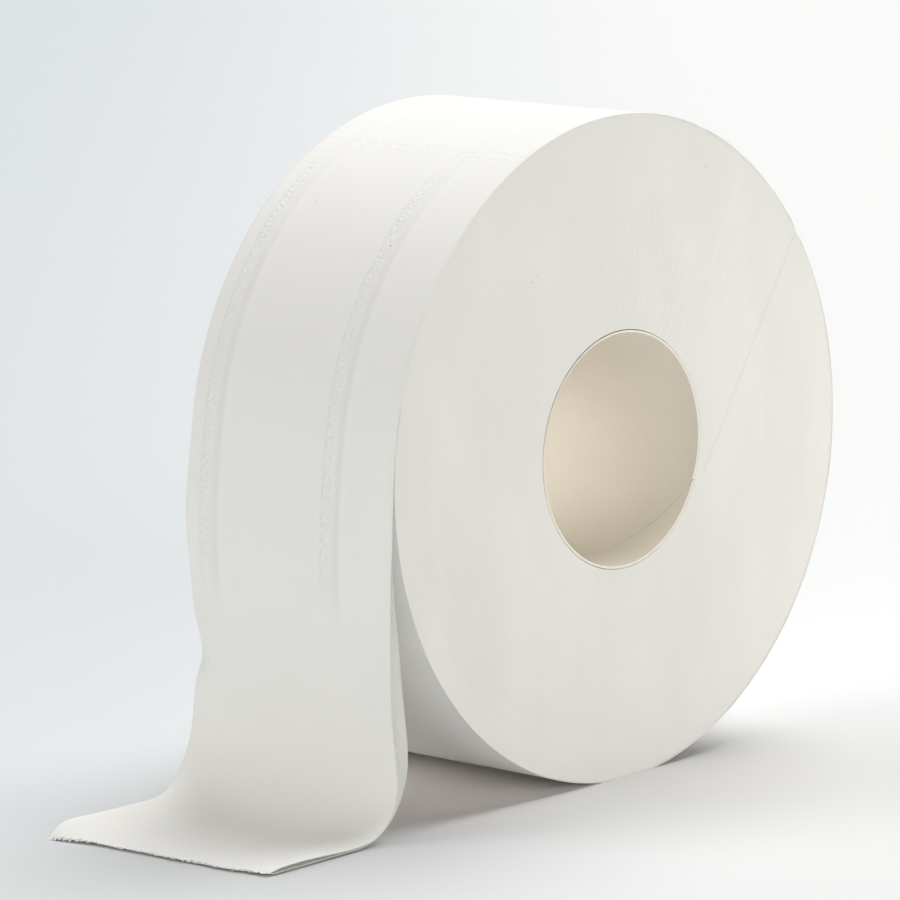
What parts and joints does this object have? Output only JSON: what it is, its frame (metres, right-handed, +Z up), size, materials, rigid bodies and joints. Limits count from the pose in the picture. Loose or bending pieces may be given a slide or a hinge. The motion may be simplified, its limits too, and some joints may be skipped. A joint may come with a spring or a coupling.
{
  "type": "toilet paper roll",
  "caption": "Wide washroom roll of white two-ply toilet tissue on a paperboard core, standing on its tread with its loose end hanging down to the floor.",
  "frame": {"origin": "centre of the core's bore, at the middle of the roll's width", "axes": "+Y along the bore, from the front end face to the back one; +Z up; the tail hangs on the -X side"},
  "size_m": [0.2918, 0.089, 0.2193],
  "materials": {
    "core_board": "matte, wound board with a slanting seam",
    "tissue": "matte, soft white tissue"
  },
  "bodies": {
    "root": {"core_tube": "core_board", "tissue_web": "tissue"}
  },
  "joints": []
}
